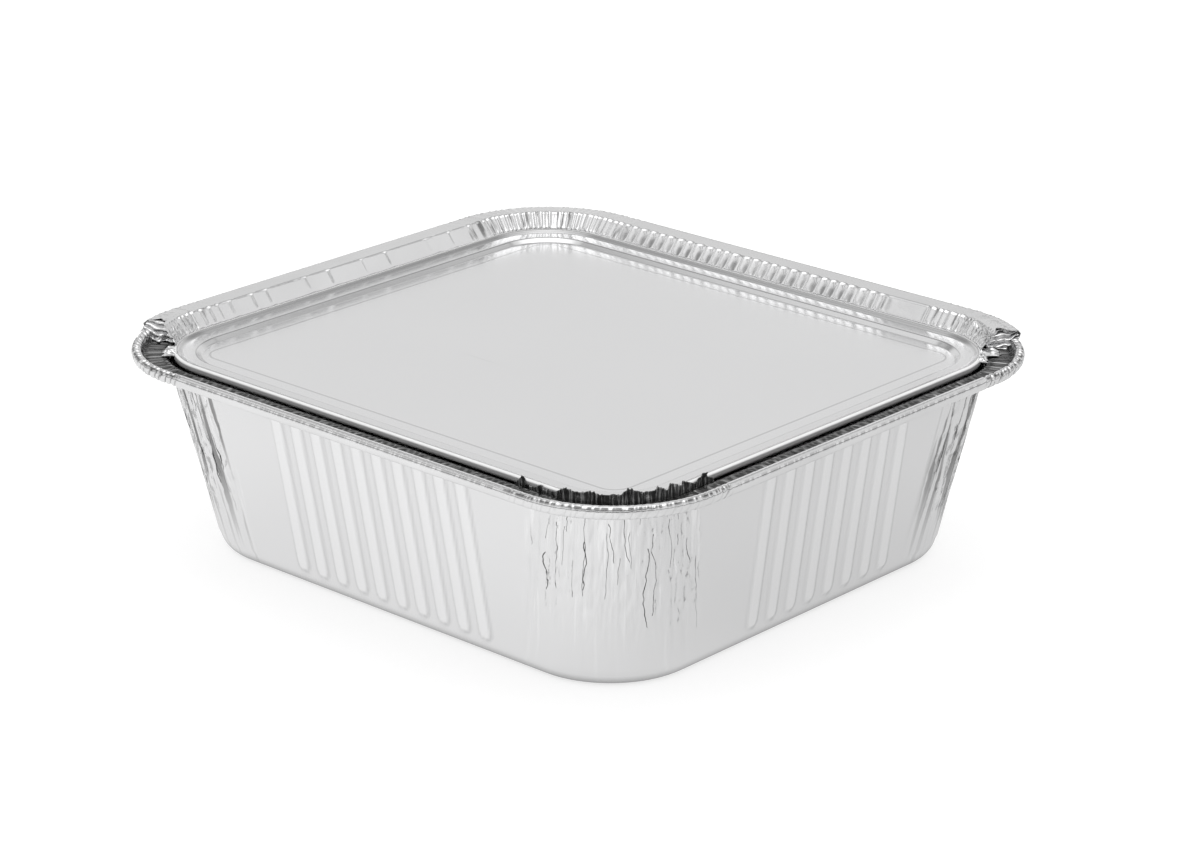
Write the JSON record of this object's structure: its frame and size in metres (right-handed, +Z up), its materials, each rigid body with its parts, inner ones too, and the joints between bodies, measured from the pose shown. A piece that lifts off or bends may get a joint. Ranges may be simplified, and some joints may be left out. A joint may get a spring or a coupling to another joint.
{
  "type": "foil food container",
  "caption": "Rectangular pressed foil tray with ribbed sloping walls, a rolled rim and a loose foil lid folded over two sides and torn at its corners.",
  "frame": {"origin": "middle of the tray's underside, on the surface that it stands on", "axes": "+Z up, +X along the tray's longer side"},
  "size_m": [0.2005, 0.1849, 0.0613],
  "materials": {
    "tray_foil": "bright rolled foil",
    "lid_foil": "satin rolled foil"
  },
  "bodies": {
    "root": {"tray": "tray_foil", "lid": "lid_foil"}
  },
  "joints": []
}
